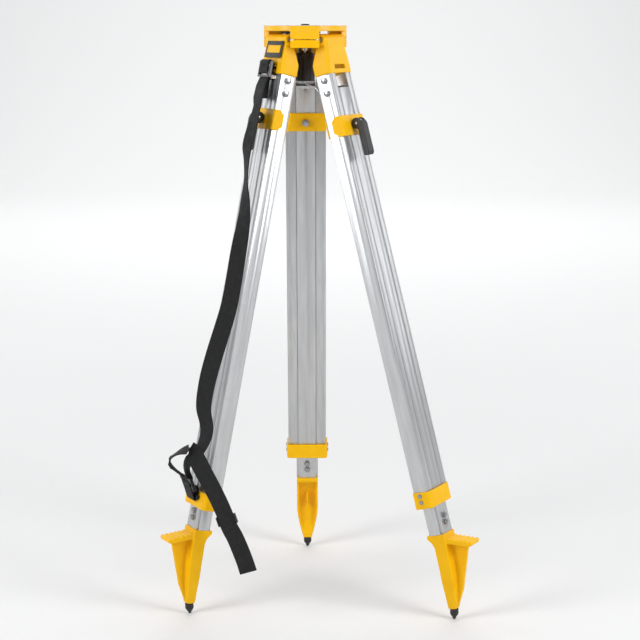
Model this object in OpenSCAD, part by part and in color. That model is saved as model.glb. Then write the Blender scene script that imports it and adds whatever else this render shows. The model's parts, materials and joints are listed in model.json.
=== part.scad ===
// Surveyor's tripod with quick clamps, standing closed-height on a level floor.
// Frame: origin at the centre of the head's top face, +Z up, +Y towards the rear leg.
// Legs are drawn upright (x across the leg, y outward, z up from the hinge) and
// then leaned out and turned to their places.

/* [Stance] */
// Lean of the rear leg from the vertical
spread_rear = 13.8; // [11:0.1:17]
// Lean of the left leg from the vertical
spread_left = 11.9; // [11:0.1:17]
// Lean of the right leg from the vertical
spread_right = 15.3; // [11:0.1:17]

/* [Head] */
// Diameter of the round part of the head plate
head_d = 141; // [138:0.2:144]
// Thickness of the head plate
head_t = 9.5; // [8:0.5:10]
// Diameter of the centring opening
opening_d = 60; // [54:1:62]
// Distance of each leg hinge from the centre
hinge_r = 50; // [49:0.5:51]
// Depth of the hinge axes below the top face
hinge_drop = 24; // [23:0.5:26]
// Diameter of the leg hinge pins
hinge_pin_d = 9; // [8:0.5:10]
// Lower end of the clamped hinge caps, below the top face
cap_bottom = 37.6; // [36:0.2:40]

/* [Fastening screw] */
// Diameter of the instrument screw, 5/8 inch
screw_d = 15.875; // [15.875]
// How far the screw stands above the head
screw_up = 2.3; // [1:0.1:6]
// Diameter of the screw knob
knob_d = 33; // [28:1:34]
// Top of the screw knob, below the top face
knob_top = 47.6; // [47:0.2:50]
// Bottom of the screw knob, below the top face
knob_bottom = 95; // [80:1:96]

/* [Legs] */
// Width of a leg across both rails
leg_w = 72; // [70:1:74]
// Thickness of rails and sliding section
leg_t = 28; // [27:0.5:29]
// Width of one rail
rail_w = 18.2; // [17:0.1:19]
// Length of the top bracket from the hinge
bracket_len = 59; // [56:1:62]
// Distance from the hinge to the rails' lower end
rail_end = 816; // [800:1:820]
// Distance from the hinge to the top of the lower collar
collar_top = 790; // [780:1:794]
// Length of the lower collar
collar_len = 29; // [24:1:32]
// Distance from the hinge to the top of the clamp
clamp_top = 119.5; // [115:0.5:140]
// Length of the clamp plates along the leg
clamp_len = 35; // [30:1:40]
// Distance from the hinge to the top of the sliding section
inner_top = 71; // [68:1:80]
// Distance from the hinge to the foot's upper edge
foot_top = 857; // [855:1:860]

/* [Foot] */
// Length of the foot casting
foot_len = 135; // [132:1:138]
// Inward bend of the hardened point
tip_bend = 15; // [8:1:18]
// Outward reach of the step
step_reach = 50; // [44:1:54]
// Width of the step
step_w = 34; // [28:1:38]

/* [Strap] */
// Width of the carrying strap
strap_w = 30; // [28:1:32]
// Thickness of the webbing
strap_t = 2; // [1.6:0.1:2.4]

/* [Hidden] */

PAINT = [0.98, 0.80, 0.02];
ALLOY = [0.78, 0.79, 0.80];
STEEL = [0.70, 0.70, 0.72];
BLACK = [0.08, 0.08, 0.08];

// Leg numbers
REAR = 0;
LEFT = 1;
RIGHT = 2;
leg_turn = [0, 120, 240];
leg_lean = [spread_rear, spread_left, spread_right];
block_turn = [180, 60, 300];
big = 400;

// Levels and positions in a leg's own frame
mid_y = -10;
out_y = mid_y + leg_t / 2;
in_y = mid_y - leg_t / 2;
rail_x = leg_w / 2;
rail_in_x = rail_x - rail_w;
panel_x = rail_in_x - 1;
tongue_x = panel_x + 3.8;
tongue_t = 20;
wall = 2;
barrel_r = 9;
barrel_x = 38;
side_gap = 0.4;
gap = 0.3;

// Clamp and lever
clamp_mid = clamp_top + clamp_len / 2;
plate_t = 2.5;
clamp_out_y = out_y + gap + plate_t;
clamp_in_y = in_y - gap - plate_t;
pivot_y = clamp_out_y + 10;
cam_r = 9.7;
lever_x = 9.5;
lever_wall = 3;
lever_len = 57;

// Foot and point
foot_end = foot_top + foot_len;
foot_x = tongue_x - 0.3;
tip_y = mid_y - 8;
tip_r = 7.6;
tip_end_r = 3;
tip_len = 16.5;

// The point's ball centre below the hinge for the left leg sets the floor
ball_y = tip_y - tip_len * sin(tip_bend);
ball_s = foot_end + tip_len * cos(tip_bend);
ball_drop = ball_s * cos(spread_left) - ball_y * sin(spread_left);
function slide_out(lean) = (ball_drop + ball_y * sin(lean)) / cos(lean) - ball_s;

module at_leg(leg)
    rotate(leg_turn[leg]) translate([0, hinge_r, -hinge_drop]) rotate([leg_lean[leg], 0, 0])
        children();

module at_slide(leg)
    at_leg(leg) translate([0, 0, -slide_out(leg_lean[leg])]) children();

module at_block(block) rotate(block_turn[block]) children();

module mirrored_x() {
    children();
    mirror([1, 0, 0]) children();
}

// A box between two corners
module span(low, high) translate(low) cube(high - low);

// A round bar along x
module x_bar(r, x1, x2, y, z, sides = 48)
    translate([x1, y, z]) rotate([0, 90, 0]) cylinder(r = r, h = x2 - x1, $fn = sides);

// A round bar along y
module y_bar(r, y1, y2, x, z, sides = 48)
    translate([x, y2, z]) rotate([90, 0, 0]) cylinder(r = r, h = y2 - y1, $fn = sides);

// An outline given as [y, z] points, extruded to +-half_x
module side_cut(points, half_x)
    translate([-half_x, 0, 0]) rotate([90, 0, 90])
        linear_extrude(2 * half_x) polygon([for (p = points) [p[0], -p[1]]]);

// ---------------------------------------------------------------- head

// Plan of a hinge block, radial direction along +y
block_x = 24.6;
block_y = 69;
block_in = 48;
block_side = barrel_x + side_gap;
function block_edge(x) = (block_side + x * sin(30)) / cos(30);

module block_plan()
    polygon([
        [-block_x, block_y], [-block_x, block_edge(block_x)], [0, block_in],
        [block_x, block_edge(block_x)], [block_x, block_y]
    ]);

split = 0.4;
pin_r = hinge_pin_d / 2;
pin_half = 46;
pin_bore_r = pin_r + 0.06;
cap_bolt_y = 62;
cap_bolt_r = 3;

module hinge_bores()
    for (leg = [REAR, LEFT, RIGHT])
        rotate(leg_turn[leg]) x_bar(pin_bore_r, -pin_half - 0.6, pin_half + 0.6, hinge_r, -hinge_drop);

arm_turn = 60;
arm_pivot_y = 38;
arm_pin_r = 4;
arm_top = head_t + 0.4;
arm_t = 4;

module head_plate() color(PAINT)
    difference() {
        union() {
            translate([0, 0, -head_t]) cylinder(d = head_d, h = head_t, $fn = 128);
            for (b = [0:2]) at_block(b)
                translate([0, 0, -hinge_drop + split]) linear_extrude(hinge_drop - split)
                    block_plan();
        }
        translate([0, 0, -head_t - 1]) cylinder(d = opening_d, h = head_t + 2, $fn = 96);
        hinge_bores();
        for (b = [0:2]) at_block(b)
            translate([0, cap_bolt_y, -hinge_drop - 1]) cylinder(r = cap_bolt_r, h = 17, $fn = 32);
        rotate(arm_turn) translate([0, arm_pivot_y, -head_t - 1])
            cylinder(r = arm_pin_r, h = 7.5, $fn = 32);
    }

module hinge_cap(block) color(PAINT)
    difference() {
        at_block(block) translate([0, 0, -cap_bottom])
            linear_extrude(cap_bottom - hinge_drop - split) block_plan();
        hinge_bores();
        at_block(block) translate([0, cap_bolt_y, -cap_bottom - 1])
            cylinder(r = cap_bolt_r, h = 30, $fn = 32);
    }

// Three hinge cap bolts and the shoulder rivet of the centring arm
module head_fasteners() color(STEEL) {
    for (b = [0:2]) at_block(b) translate([0, cap_bolt_y, 0]) {
        translate([0, 0, -cap_bottom - 4]) cylinder(r = 5.2, h = 4, $fn = 6);
        translate([0, 0, -cap_bottom]) cylinder(r = cap_bolt_r, h = cap_bottom - 9, $fn = 32);
    }
    rotate(arm_turn) translate([0, arm_pivot_y, 0]) {
        translate([0, 0, -arm_top - arm_t - 2.6]) cylinder(r = 6.5, h = 2.4, $fn = 32);
        translate([0, 0, -arm_top - arm_t - 0.2])
            cylinder(r = arm_pin_r, h = arm_t + arm_top - head_t + 5.2, $fn = 32);
    }
}

// ---------------------------------------------------------------- fastening screw

carrier_half = 9;
carrier_travel = 10;
slot_gap = 0.15;
arm_half = 13;
arm_reach = 23;

module screw_arm() color(BLACK)
    rotate(arm_turn) difference() {
        translate([0, 0, -arm_top - arm_t]) linear_extrude(arm_t) union() {
            translate([0, arm_pivot_y]) circle(r = 9, $fn = 48);
            translate([-9, 0]) square([18, arm_pivot_y]);
            translate([-arm_half, -arm_reach]) square([2 * arm_half, 2 * arm_reach]);
        }
        span([-carrier_half - slot_gap, -carrier_half - carrier_travel - slot_gap, -20],
             [carrier_half + slot_gap, carrier_half + carrier_travel + slot_gap, 0]);
        translate([0, arm_pivot_y, -arm_top - arm_t - 1])
            cylinder(r = arm_pin_r + 0.05, h = arm_t + 2, $fn = 32);
    }

screw_r = screw_d / 2;
neck_r = 7.2;
neck_low = 28;
shank_r = 6.45;
carrier_low = 17.2;
thread_low = 6;

module screw_carrier() color(BLACK)
    difference() {
        union() {
            translate([0, 0, -arm_top + gap]) cylinder(r = 13, h = 3, $fn = 64);
            rotate(arm_turn) span([-carrier_half, -carrier_half, -carrier_low + 1],
                                  [carrier_half, carrier_half, -arm_top + 1]);
            translate([0, 0, -carrier_low])
                cylinder(r = 13, h = carrier_low - arm_top - arm_t - gap, $fn = 64);
        }
        translate([0, 0, -30]) cylinder(r = neck_r + 0.05, h = 30, $fn = 64);
    }

yoke_top = 30.5;
yoke_r = 12.5;

// Sleeve that rises with the screw; its window shows the bright shank
module lift_yoke() color(BLACK)
    difference() {
        translate([0, 0, -knob_top + 0.2])
            cylinder(r = yoke_r, h = knob_top - yoke_top - 0.2, $fn = 64);
        translate([0, 0, -knob_top - 1]) cylinder(r = shank_r + 0.05, h = 30, $fn = 48);
        span([-shank_r - 0.4, -big, -knob_top + 1.4], [shank_r + 0.4, big, -yoke_top - 3.5]);
    }

module fastening_screw() color(STEEL) {
    translate([0, 0, -thread_low]) cylinder(r = screw_r, h = thread_low + screw_up - 1.2, $fn = 64);
    translate([0, 0, -neck_low]) cylinder(r = neck_r, h = neck_low - thread_low, $fn = 64);
    translate([0, 0, screw_up - 1.2]) cylinder(r1 = screw_r, r2 = screw_r - 1.2, h = 1.2, $fn = 64);
    translate([0, 0, -knob_bottom + 8])
        cylinder(r = shank_r, h = knob_bottom - 7 - neck_low, $fn = 48);
}

module screw_knob() color(BLACK)
    difference() {
        translate([0, 0, -knob_bottom]) cylinder(d = knob_d, h = knob_bottom - knob_top, $fn = 96);
        translate([0, 0, -knob_bottom + 8]) cylinder(r = shank_r, h = 60, $fn = 48);
        translate([0, 0, -knob_bottom - 1]) cylinder(r = 1.6, h = 6, $fn = 24);
        for (a = [0:45:315]) rotate(a + 22.5)
            translate([knob_d / 2 + 2.4, 0, -knob_bottom - 1])
                cylinder(r = 4.4, h = knob_bottom - knob_top - 5, $fn = 32);
    }

hook_r = 1.1;
hook_points = [
    [0, 0, -91], [0, 0, -98], [3, 0, -101], [9, 1, -103], [15, 2, -106], [20, 3, -111],
    [23, 4, -118], [24, 4, -125], [22, 4, -132], [17, 4, -137]
];

// Tube through a list of points, with eight sides
tube_sides = 8;
module tube(points, r) {
    n = len(points);
    rings = [for (i = [0:n - 1])
        let (
            d = points[min(i + 1, n - 1)] - points[max(i - 1, 0)],
            along = d / norm(d),
            side = cross(along, [0, 1, 0]) / norm(cross(along, [0, 1, 0])),
            other = cross(along, side)
        )
        each [for (k = [0:tube_sides - 1])
            points[i] + r * (cos(360 * k / tube_sides) * side + sin(360 * k / tube_sides) * other)]];
    faces = [for (i = [0:n - 2], k = [0:tube_sides - 1])
        let (a = tube_sides * i + k, b = tube_sides * i + (k + 1) % tube_sides)
        each [[a, b, b + tube_sides], [a, b + tube_sides, a + tube_sides]]];
    polyhedron(rings, concat(faces, [
        [for (k = [tube_sides - 1:-1:0]) k],
        [for (k = [0:tube_sides - 1]) tube_sides * (n - 1) + k]
    ]));
}

module plumb_hook() color(STEEL) tube(hook_points, hook_r);

// ---------------------------------------------------------------- upper leg

bracket_x = 38.5;
bracket_out_y = out_y + 2;
bracket_in_y = in_y - 0.6;
prong_x = [rail_in_x + 4.9, rail_x - 1.9];
prong_t = 23.8;
bolt_s = [68, 90];
bolt_r = 3;

module bracket(leg) color(PAINT)
    at_leg(leg) difference() {
        union() {
            x_bar(barrel_r, -barrel_x, barrel_x, 0, 0, 64);
            hull() {
                x_bar(barrel_r, -26, 26, 0, 0, 32);
                x_bar(barrel_r - 4, -33.5, 33.5, 0, 0, 32);
                span([-bracket_x, bracket_in_y, -bracket_len], [bracket_x, bracket_out_y - 3, -40]);
                span([-bracket_x + 3, bracket_in_y, -bracket_len], [bracket_x - 3, bracket_out_y, -40]);
            }
            mirrored_x() span([prong_x[0], mid_y - prong_t / 2, -105],
                              [prong_x[1], mid_y + prong_t / 2, -bracket_len + 1]);
        }
        x_bar(pin_r, -60, 60, 0, 0);
        // Hollow of the casting, open to the inside
        span([-26, -60, -bracket_len + 5], [26, 0, -15]);
        // Opening between the rails and the strap slot above the lower bar
        span([-17.5, -60, -bracket_len - 1], [17.5, 0, -50]);
        span([-17.5, -10, -51.5], [17.5, 20, -44.5]);
        for (s = bolt_s) mirrored_x() x_bar(bolt_r, 10, 50, mid_y, -s, 32);
    }

module hinge_pin(leg) color(STEEL)
    at_leg(leg) x_bar(pin_r, -pin_half, pin_half, 0, 0);

// Section of one rail, on the +x side
module rail_section()
    difference() {
        translate([rail_in_x, in_y]) square([rail_w, leg_t]);
        translate([prong_x[0] - 0.3, mid_y - 12.2]) square([prong_x[1] - prong_x[0] + 0.5, 24.4]);
        translate([rail_in_x - 1, mid_y - tongue_t / 2 - 0.4]) square([4.4, tongue_t + 0.8]);
        // Shallow ornamental groove along the outer and inner face
        translate([rail_x - 5.2, out_y - 0.5]) square([0.8, 1]);
        translate([rail_x - 5.2, in_y - 0.5]) square([0.8, 1]);
    }

screw_s = [796, 807];
screw_y = -12;

module rails(leg) color(ALLOY)
    at_leg(leg) difference() {
        translate([0, 0, -rail_end]) linear_extrude(rail_end - bracket_len)
            mirrored_x() rail_section();
        for (s = bolt_s) mirrored_x() x_bar(bolt_r, 30, 50, mid_y, -s, 32);
        for (s = screw_s) mirrored_x() x_bar(2, 30, 50, screw_y, -s, 24);
    }

// Hexagon bolts at the bracket and pan-head screws at the collar
module rail_bolts(leg) color(STEEL)
    at_leg(leg) mirrored_x() {
        for (s = bolt_s) {
            x_bar(bolt_r, prong_x[0] + 1, rail_x, mid_y, -s, 32);
            x_bar(6.6, rail_x, rail_x + 1, mid_y, -s, 32);
            x_bar(5.4, rail_x + 1, rail_x + 4.6, mid_y, -s, 6);
        }
        for (s = screw_s) {
            x_bar(2, rail_x - 4, collar_x, screw_y, -s, 24);
            x_bar(3.8, collar_x, collar_x + 1.5, screw_y, -s, 32);
        }
    }

collar_x = rail_x + 3;
collar_out_y = out_y + 3.2;
collar_in_y = in_y - 3.2;
collar_r = 6;

module collar(leg) color(PAINT)
    at_leg(leg) difference() {
        union() {
            translate([0, 0, -collar_top - collar_len]) linear_extrude(collar_len) union() {
                translate([-collar_x, collar_in_y + collar_r])
                    square([2 * collar_x, collar_out_y - collar_in_y - 2 * collar_r]);
                translate([-collar_x + collar_r, collar_in_y])
                    square([2 * (collar_x - collar_r), collar_out_y - collar_in_y]);
                for (x = [-1, 1], y = [collar_in_y + collar_r, collar_out_y - collar_r])
                    translate([x * (collar_x - collar_r), y]) circle(r = collar_r, $fn = 64);
            }
            // Raised field on the outer face
            span([-collar_x + 8, out_y + 2, -collar_top - collar_len + 1],
                 [collar_x - 8, collar_out_y + 0.8, -collar_top - 1]);
        }
        span([-rail_x, in_y, -rail_end], [rail_x, out_y, -collar_top + 1]);
        span([-panel_x - 1, in_y - 0.4, -big * 3], [panel_x + 1, out_y + 0.4, 0]);
        span([-tongue_x - 0.6, mid_y - tongue_t / 2 - 0.6, -big * 3],
             [tongue_x + 0.6, mid_y + tongue_t / 2 + 0.6, 0]);
        for (s = screw_s) mirrored_x() x_bar(2, 30, 50, screw_y, -s, 24);
    }

// ---------------------------------------------------------------- sliding section

foot_bolt_s = [826.5, 838.5];
tang_top = 817;
plug_screw_s = 80;

module inner_leg(leg) color(ALLOY)
    at_slide(leg) difference() {
        translate([0, 0, -foot_top]) linear_extrude(foot_top - inner_top) difference() {
            union() {
                translate([-panel_x, in_y]) square([2 * panel_x, leg_t]);
                translate([-tongue_x, mid_y - tongue_t / 2]) square([2 * tongue_x, tongue_t]);
            }
            translate([-panel_x + wall, in_y + wall])
                square([2 * (panel_x - wall), leg_t - 2 * wall]);
        }
        y_bar(4, -60, 60, 0, -clamp_mid);
        for (s = foot_bolt_s) y_bar(bolt_r, -60, 60, 0, -s, 32);
        y_bar(1.8, -60, mid_y, 0, -plug_screw_s, 24);
    }

module end_plug(leg) color(BLACK)
    at_slide(leg) difference() {
        union() {
            span([-panel_x, in_y, -inner_top], [panel_x, out_y, -inner_top + 3]);
            span([-panel_x + wall, in_y + wall, -inner_top - 20],
                 [panel_x - wall, out_y - wall, -inner_top + 1]);
        }
        y_bar(1.8, -60, mid_y, 0, -plug_screw_s, 24);
    }

wing_x = 42;
wing_y = -12;
wing_cut = 8;
clamp_plan = [
    [36.8, out_y + gap], [39.5, wing_y], [wing_x, wing_y], [39.4, clamp_out_y - 1.4],
    [38, clamp_out_y]
];

// Outer plate: flat across the leg, with flared wings beside the rails
module clamp_outer(leg) color(PAINT)
    at_slide(leg) difference() {
        intersection() {
            translate([0, 0, -clamp_top - clamp_len]) linear_extrude(clamp_len)
                polygon(concat(clamp_plan, [for (i = [len(clamp_plan) - 1:-1:0])
                    [-clamp_plan[i][0], clamp_plan[i][1]]]));
            translate([0, 0, -clamp_top]) side_cut([
                [clamp_out_y + 1, 0], [wing_y + wing_cut, 0], [wing_y - 0.1, wing_cut],
                [wing_y - 0.1, clamp_len - wing_cut], [wing_y + wing_cut, clamp_len],
                [clamp_out_y + 1, clamp_len]
            ], wing_x + 1);
        }
        y_bar(4.05, -60, 60, 0, -clamp_mid);
    }

module clamp_inner(leg) color(PAINT)
    at_slide(leg) difference() {
        span([-rail_x - 0.5, clamp_in_y, -clamp_top - clamp_len + 1],
             [rail_x + 0.5, in_y - gap, -clamp_top - 1]);
        y_bar(4.05, -60, 60, 0, -clamp_mid);
    }

// Through bolt: hexagon head inside, eye for the lever's pin outside
module clamp_bolt(leg) color(STEEL)
    at_slide(leg) difference() {
        union() {
            y_bar(6.9, clamp_in_y - 5, clamp_in_y, 0, -clamp_mid, 6);
            y_bar(4, clamp_in_y, clamp_out_y + 4, 0, -clamp_mid);
            span([-6, clamp_out_y + 4, -clamp_mid - 6], [6, pivot_y + 5.5, -clamp_mid + 6]);
        }
        x_bar(2.5, -10, 10, pivot_y, -clamp_mid, 32);
    }

arm_out_y = pivot_y + 11.7;
arm_in_y = pivot_y + 0.8;

module lever(leg) color(BLACK)
    at_slide(leg) difference() {
        union() {
            x_bar(cam_r, -lever_x, lever_x, pivot_y, -clamp_mid, 64);
            translate([0, 0, -clamp_mid]) side_cut([
                [arm_in_y, 0], [pivot_y + 6, -7.4], [arm_out_y - 1.6, -2], [arm_out_y, 3],
                [arm_out_y + 0.4, lever_len - 5], [arm_out_y - 2.2, lever_len],
                [arm_in_y + 2, lever_len], [arm_in_y, lever_len - 3]
            ], lever_x);
        }
        x_bar(2.55, -20, 20, pivot_y, -clamp_mid, 32);
        // Fork around the bolt's eye
        span([-lever_x + lever_wall - 0.2, clamp_out_y - 5, -clamp_mid - 11],
             [lever_x - lever_wall + 0.2, arm_out_y - lever_wall, -clamp_mid + 20]);
        // Channel of the arm, open towards the leg
        span([-lever_x + lever_wall, 0, -clamp_mid - lever_len + 3.5],
             [lever_x - lever_wall, arm_out_y - lever_wall, -clamp_mid - 12]);
    }

module lever_pin(leg) color(STEEL)
    at_slide(leg) x_bar(2.5, -lever_x - 0.6, lever_x + 0.6, pivot_y, -clamp_mid, 32);

// ---------------------------------------------------------------- foot

taper_s = 64;
function foot_half(t) = tip_r + (foot_x - tip_r) * cos(90 * t);
foot_front = concat(
    [[foot_x, 0], [foot_x, taper_s]],
    [for (t = [0.15:0.17:1]) [foot_half(t), taper_s + t * (foot_len - taper_s)]]
);

// Seen from the side, [y, distance below the foot's upper edge]
foot_side = [
    [in_y - 4, 0], [bracket_out_y, 0], [bracket_out_y, 14], [out_y, 64], [-3, foot_len - 30],
    [tip_y + tip_r, foot_len], [tip_y - tip_r, foot_len], [tip_y - 3.5, foot_len - 30], [tip_y - 0.6, 64],
    [tip_y, 24], [tip_y - 3, 14], [tip_y - 8.5, 8], [in_y - 4, 6]
];
scoop_side = [[-40, 12], [-18, 12], [-9, 20], [-7, 30], [-9, 64], [-16, foot_len - 32],
    [-26, foot_len - 8], [-40, foot_len - 8]];
ridge_pitch = 8;
step_side = concat(
    [[0, 6], [0, 0]],
    [for (i = [0:5]) each [
        [bracket_out_y + i * ridge_pitch, -0.4],
        [bracket_out_y + (i + 0.5) * ridge_pitch, -2.4]
    ]],
    [[step_reach + 4, 0], [step_reach + 4, 5], [step_reach - 2, 8], [0, 8]]
);
// Web under the step, down to the point
web_side = [
    [0, 4], [step_reach - 10, 10], [step_reach - 12, 20], [9, foot_len - 40],
    [-10, foot_len - 8], [-8, 80]
];

module front_prism(points, y1, y2)
    translate([0, y2, 0]) rotate([90, 0, 0]) linear_extrude(y2 - y1)
        mirrored_x() polygon(concat([[0, 0]], [for (p = points) [p[0], -p[1]]],
                                    [[0, -points[len(points) - 1][1]]]));

module foot(leg) color(PAINT)
    at_slide(leg) translate([0, 0, -foot_top]) difference() {
        union() {
            intersection() {
                side_cut(foot_side, 30);
                front_prism(foot_front, -60, 60);
            }
            // Step, level with the ground when the leg leans out
            translate([0, 0, -8]) rotate([-spread_right, 0, 0]) side_cut(step_side, step_w / 2);
            translate([0, 0, -8]) side_cut(web_side, 3);
            span([-13.3, mid_y - 10.3, 0], [13.3, mid_y + 10.3, foot_top - tang_top]);
        }
        difference() {
            intersection() {
                side_cut(scoop_side, 30);
                front_prism([for (p = foot_front) [p[0] - 3.6, p[1]]], -60, 60);
            }
            span([-1.5, -40, -66], [1.5, 0, -36]);
        }
        for (s = foot_bolt_s) y_bar(bolt_r, -60, 60, 0, foot_top - s, 32);
        // Seat of the point
        translate([0, tip_y, -foot_len]) rotate([-tip_bend, 0, 0]) {
            translate([-30, -30, -60]) cube([60, 60, 60]);
            cylinder(r = 4.5, h = 15, $fn = 32);
        }
    }

module foot_bolts(leg) color(STEEL)
    at_slide(leg) {
        for (s = foot_bolt_s) {
            y_bar(bolt_r, in_y, out_y, 0, -s, 32);
            y_bar(5.4, in_y - 3.6, in_y, 0, -s, 6);
            y_bar(5.4, out_y, out_y + 3.6, 0, -s, 6);
        }
        y_bar(1.8, in_y, in_y + 9, 0, -plug_screw_s, 24);
        y_bar(3.4, in_y - 1.6, in_y, 0, -plug_screw_s, 24);
    }

module foot_tip(leg) color(BLACK)
    at_slide(leg) translate([0, tip_y, -foot_end]) rotate([-tip_bend, 0, 0]) {
        cylinder(r = 4.5, h = 14, $fn = 32);
        translate([0, 0, -9.5]) cylinder(r = tip_r - 0.2, h = 9.5, $fn = 48);
        translate([0, 0, -tip_len])
            cylinder(r1 = tip_end_r, r2 = tip_r - 0.2, h = tip_len - 9.5, $fn = 48);
        translate([0, 0, -tip_len]) sphere(r = tip_end_r, $fn = 48);
    }

// ---------------------------------------------------------------- carrying strap

// Centre line in the left leg's frame, [x, y, distance below the hinge, twist of the width]
run_points = [
    [0, 17, 68.6, 0], [0, 18, 72.5, 0], [-0.5, 20.5, 80, 0], [-6, 25, 91, -5],
    [-17, 31, 102, -7], [-26.5, 35, 115, -5], [-27, 36, 144, -2], [-27, 40, 187, 4],
    [-27, 37, 213, -10], [-27, 31, 249, -17], [-30, 27, 285, 5], [-33, 25, 330, 24],
    [-34, 25, 373, 36], [-34, 25, 462, 44], [-33, 36, 551, 56], [-32, 40, 600, 44],
    [-32, 38, 640, 32], [-34, 28, 668, 24], [-34, 25, 688, 16], [-31, 29, 711, 6],
    [-20, 34, 726, 0], [-8, 37, 742, -6], [-2, 33, 755, -4], [0, 28, 764, 0],
    [0, 25, 770.5, 0]
];
tail_points = [
    [0, 34.5, 772, 0], [0, 37, 767.5, 0], [-5, 46, 762, -12], [-10, 57, 757, -22],
    [-13, 73, 745, -30], [-17, 75, 735, -30], [-20, 68, 727, -26], [-25, 58, 719, 0],
    [-33, 48, 715, 42], [-46, 38, 732, 52], [-57, 26, 752, 52], [-68, 12, 774, 50],
    [-76, -2, 796, 50], [-81, -14, 816, 50], [-84, -24, 834, 52], [-91, -36, 852, 52],
    [-102, -53, 884, 54], [-107, -63, 905, 56]
];

function ring(p, along) =
    let (
        across0 = [cos(p[3]), sin(p[3]), 0],
        normal = cross(along, across0) / norm(cross(along, across0)),
        across = cross(normal, along),
        centre = [p[0], p[1], -p[2]]
    )
    [for (c = [[-1, -1], [1, -1], [1, 1], [-1, 1]])
        centre + across * c[0] * strap_w / 2 + normal * c[1] * strap_t / 2];

function direction(points, i) =
    let (
        a = points[max(i - 1, 0)],
        b = points[min(i + 1, len(points) - 1)],
        d = [b[0] - a[0], b[1] - a[1], a[2] - b[2]]
    )
    d / norm(d);

module webbing(points) {
    n = len(points);
    corners = [for (i = [0:n - 1]) each ring(points[i], direction(points, i))];
    // Both faces of the band are split along the same diagonal
    sides = [for (i = [0:n - 2], k = [0:3])
        let (f = [4 * i + k, 4 * i + (k + 1) % 4, 4 * i + 4 + (k + 1) % 4, 4 * i + 4 + k])
        each (k == 2 ? [[f[1], f[2], f[3]], [f[1], f[3], f[0]]]
                     : [[f[0], f[1], f[2]], [f[0], f[2], f[3]]])];
    polyhedron(corners, concat(sides, [[3, 2, 1, 0], [4 * n - 4, 4 * n - 3, 4 * n - 2, 4 * n - 1]]));
}

module strap_run() color(BLACK) at_leg(LEFT) webbing(run_points);
module strap_tail() color(BLACK) at_leg(LEFT) webbing(tail_points);

// A flat band of webbing bent into a closed loop, seen from the side as [y, s] points
module band(outside, inside)
    difference() {
        side_cut(outside, strap_w / 2);
        side_cut(inside, strap_w / 2 + 1);
    }

module strap_loops() color(BLACK)
    at_leg(LEFT) {
        // Loop through the bracket's slot, its spare end, and the loop at the collar
        band([[-2.4, 47], [10, 47], [10, 61.8], [-2.4, 61.8]],
             [[-0.4, 49], [8, 49], [8, 59.8], [-0.4, 59.8]]);
        span([-14, 11.6, -104], [14, 13.4, -66]);
        band([[8.6, 784], [14, 779.6], [21, 781], [26.2, 785.5], [25.8, 790],
              [16.4, 808], [8.6, 808]],
             [[10.6, 785], [14.8, 781.9], [20.2, 782.9], [23.8, 786.6], [23.5, 789.6],
              [15, 806], [10.6, 806]]);
    }

// Ladder buckle: two slots between three bars, standing up from its lower edge
buckle_x = 20;
buckle_t = 6;
module buckle(length)
    difference() {
        span([-buckle_x, -buckle_t / 2, 0], [buckle_x, buckle_t / 2, length]);
        for (low = [4, length - 9])
            span([-strap_w / 2 - 0.4, -buckle_t, low], [strap_w / 2 + 0.4, buckle_t, low + 5]);
    }

module strap_hardware() color(BLACK)
    at_leg(LEFT) {
        translate([0, 17, -68]) buckle(28);
        translate([0, 19, -790]) rotate([-30, 0, 0]) buckle(25);
        // Bridge on the collar that holds the lower loop
        difference() {
            span([-19, collar_out_y + 0.8, -804], [19, collar_out_y + 7.2, -796]);
            span([-15.5, collar_out_y, -805], [15.5, collar_out_y + 4, -794]);
        }
    }

// ---------------------------------------------------------------- nodes

head_plate();
hinge_cap(0);  // hinge_cap_front
hinge_cap(1);  // hinge_cap_left
hinge_cap(2);  // hinge_cap_right
head_fasteners();
screw_arm();
screw_carrier();
lift_yoke();
fastening_screw();
screw_knob();
plumb_hook();
bracket(REAR);  // bracket_rear
bracket(LEFT);  // bracket_left
bracket(RIGHT);  // bracket_right
hinge_pin(REAR);  // hinge_pin_rear
hinge_pin(LEFT);  // hinge_pin_left
hinge_pin(RIGHT);  // hinge_pin_right
rails(REAR);  // rails_rear
rails(LEFT);  // rails_left
rails(RIGHT);  // rails_right
rail_bolts(REAR);  // rail_bolts_rear
rail_bolts(LEFT);  // rail_bolts_left
rail_bolts(RIGHT);  // rail_bolts_right
collar(REAR);  // collar_rear
collar(LEFT);  // collar_left
collar(RIGHT);  // collar_right
inner_leg(REAR);  // inner_leg_rear
inner_leg(LEFT);  // inner_leg_left
inner_leg(RIGHT);  // inner_leg_right
end_plug(REAR);  // end_plug_rear
end_plug(LEFT);  // end_plug_left
end_plug(RIGHT);  // end_plug_right
clamp_outer(REAR);  // clamp_outer_rear
clamp_outer(LEFT);  // clamp_outer_left
clamp_outer(RIGHT);  // clamp_outer_right
clamp_inner(REAR);  // clamp_inner_rear
clamp_inner(LEFT);  // clamp_inner_left
clamp_inner(RIGHT);  // clamp_inner_right
clamp_bolt(REAR);  // clamp_bolt_rear
clamp_bolt(LEFT);  // clamp_bolt_left
clamp_bolt(RIGHT);  // clamp_bolt_right
lever(REAR);  // lever_rear
lever(LEFT);  // lever_left
lever(RIGHT);  // lever_right
lever_pin(REAR);  // lever_pin_rear
lever_pin(LEFT);  // lever_pin_left
lever_pin(RIGHT);  // lever_pin_right
foot(REAR);  // foot_rear
foot(LEFT);  // foot_left
foot(RIGHT);  // foot_right
foot_bolts(REAR);  // foot_bolts_rear
foot_bolts(LEFT);  // foot_bolts_left
foot_bolts(RIGHT);  // foot_bolts_right
foot_tip(REAR);  // foot_tip_rear
foot_tip(LEFT);  // foot_tip_left
foot_tip(RIGHT);  // foot_tip_right
strap_run();
strap_tail();
strap_loops();
strap_hardware();
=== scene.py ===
"""Looks of a surveyor's tripod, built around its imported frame."""
import json
import math

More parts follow.
